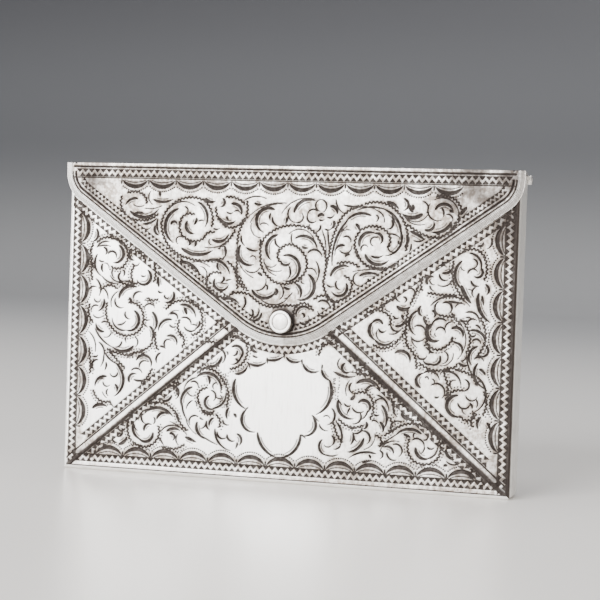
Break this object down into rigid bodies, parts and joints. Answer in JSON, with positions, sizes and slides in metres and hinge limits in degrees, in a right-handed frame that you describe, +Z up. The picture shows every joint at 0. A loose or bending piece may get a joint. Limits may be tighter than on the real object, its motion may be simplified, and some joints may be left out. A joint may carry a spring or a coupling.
{
  "type": "business card case",
  "caption": "Envelope-shaped silver card case with an engraved front, a hinged flap and a push-button catch.",
  "frame": {"origin": "middle of the flat face of the bottom edge, on which the case stands", "axes": "+X along the width, to the viewer's right; the flap and its button face -Y; +Z up, towards the hinged top edge"},
  "size_m": [0.0936, 0.0104, 0.0622],
  "materials": {
    "engraved_silver": "hand-engraved silver, dark in the cuts",
    "polished_silver": "worn polished silver",
    "hinge_silver": "drawn silver tube, tarnished in the joints",
    "catch_silver": "hard-rolled silver, dull",
    "gilt_lining": "worn gilding"
  },
  "bodies": {
    "case": {"front_plate": "engraved_silver", "back_plate": "engraved_silver", "left_edge_strip": "polished_silver", "right_edge_strip": "polished_silver", "bottom_edge_strip": "polished_silver", "front_lip": "gilt_lining", "left_body_knuckle": "hinge_silver", "right_body_knuckle": "hinge_silver", "hinge_pin": "hinge_silver", "catch_spring": "catch_silver", "spring_rivets": "catch_silver"},
    "lid": {"flap_plate": "engraved_silver", "flap_rim": "polished_silver", "top_strip": "polished_silver", "left_lid_knuckle": "hinge_silver", "middle_lid_knuckle": "hinge_silver", "right_lid_knuckle": "hinge_silver", "button_collar": "polished_silver"},
    "button": {"push_button": "polished_silver"},
    "catch": {"catch_hook": "catch_silver"}
  },
  "joints": [
    {"name": "lid_hinge", "type": "hinge", "parent": "case", "child": "lid", "pos_m": [0, 0.00375, 0.0608], "axis": [-1, 0, 0], "range_deg": [0, 180]},
    {"name": "button_press", "type": "slide", "parent": "lid", "child": "button", "axis": [0, 1, 0], "range_m": [0, 0.0005], "stiffness_N_per_m": 200, "springref_m": -0.001},
    {"name": "catch_press", "type": "slide", "parent": "case", "child": "catch", "axis": [0, 1, 0], "range_m": [0, 0.0005], "deforming": ["catch_spring"]}
  ],
  "couplings": [
    {"joint": "catch_press", "follows": "button_press", "ratio": 1}
  ]
}
